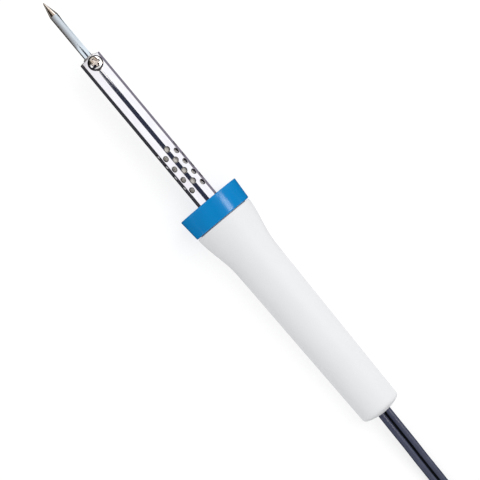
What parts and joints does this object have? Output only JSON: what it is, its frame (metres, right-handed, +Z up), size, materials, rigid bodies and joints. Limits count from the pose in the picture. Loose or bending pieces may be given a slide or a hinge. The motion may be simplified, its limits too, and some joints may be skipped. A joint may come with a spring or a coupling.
{
  "type": "soldering iron",
  "caption": "Pencil soldering iron with a sliding bit held by a clamp screw, a vented metal barrel, a collar cap, a tapered grip and a flat twin cord with a plug.",
  "frame": {"origin": "centre of the iron's footprint on the bench, without its cord", "axes": "+X towards the tip, +Z up from the bench; the iron's own axis rises 2.76 degrees towards the tip"},
  "size_m": [0.4304, 0.044, 0.0272],
  "materials": {
    "bit_plating": "satin",
    "screw_nickel": "polished",
    "spring_steel": "satin",
    "bush_steel": "machined",
    "barrel_chrome": "mirror polished",
    "heater_steel": "heat tinted",
    "ceramic": "unglazed",
    "mica": "laminated mica",
    "nichrome": "oxidised wire",
    "lead_wire": "drawn",
    "fibreglass": "braided",
    "ferrule_brass": "plain",
    "flange_steel": "zinc plated",
    "fibre_board": "vulcanised fibre",
    "zinc_steel": "zinc plated",
    "cap_blue": "satin moulded",
    "handle_white": "fine matt moulded",
    "copper": "stranded",
    "cord_pvc": "satin extruded",
    "clamp_plastic": "moulded",
    "tie_black": "moulded",
    "plug_pvc": "satin moulded",
    "blade_metal": "stamped"
  },
  "bodies": {
    "root": {"front_bush": "bush_steel", "barrel_tube": "barrel_chrome", "heater_core": "heater_steel", "core_plug": "ceramic", "inner_mica": "mica", "heater_winding": "nichrome", "outer_mica": "mica", "heat_shield": "heater_steel", "ceramic_insulator": "ceramic", "heater_leads": "lead_wire", "lead_sleeves": "fibreglass", "crimp_ferrules": "ferrule_brass", "ferrule_sleeves": "fibreglass", "barrel_flange": "flange_steel", "fibre_disc": "fibre_board", "flange_screws": "zinc_steel", "front_cap": "cap_blue", "handle": "handle_white", "cord_conductors": "copper", "cord_cores": "cord_pvc", "inner_cord": "cord_pvc", "clamp_base": "clamp_plastic", "clamp_saddle": "zinc_steel", "saddle_screws": "zinc_steel", "cord": "cord_pvc", "cord_hank": "cord_pvc", "cord_tie": "tie_black", "plug_cord": "cord_pvc", "plug_body": "plug_pvc", "plug_blades": "blade_metal"},
    "bit": {"bit": "bit_plating"},
    "washer": {"spring_washer": "spring_steel"},
    "screw": {"clamp_screw": "screw_nickel"}
  },
  "joints": [
    {"name": "bit_slide", "type": "slide", "parent": "root", "child": "bit", "axis": [0.9988, 0, 0.0481], "range_m": [0, 0.04]},
    {"name": "clamp_lift", "type": "slide", "parent": "root", "child": "washer", "axis": [-0.0477, -0.1219, 0.9914], "range_m": [0, 0.0005625]},
    {"name": "clamp_turn", "type": "hinge", "parent": "washer", "child": "screw", "pos_m": [0.07186, -0.00055, 0.02136], "axis": [-0.0477, -0.1219, 0.9914], "range_deg": [0, 405]}
  ],
  "couplings": [
    {"joint": "clamp_turn", "follows": "clamp_lift", "rad_per_m": 12566}
  ]
}
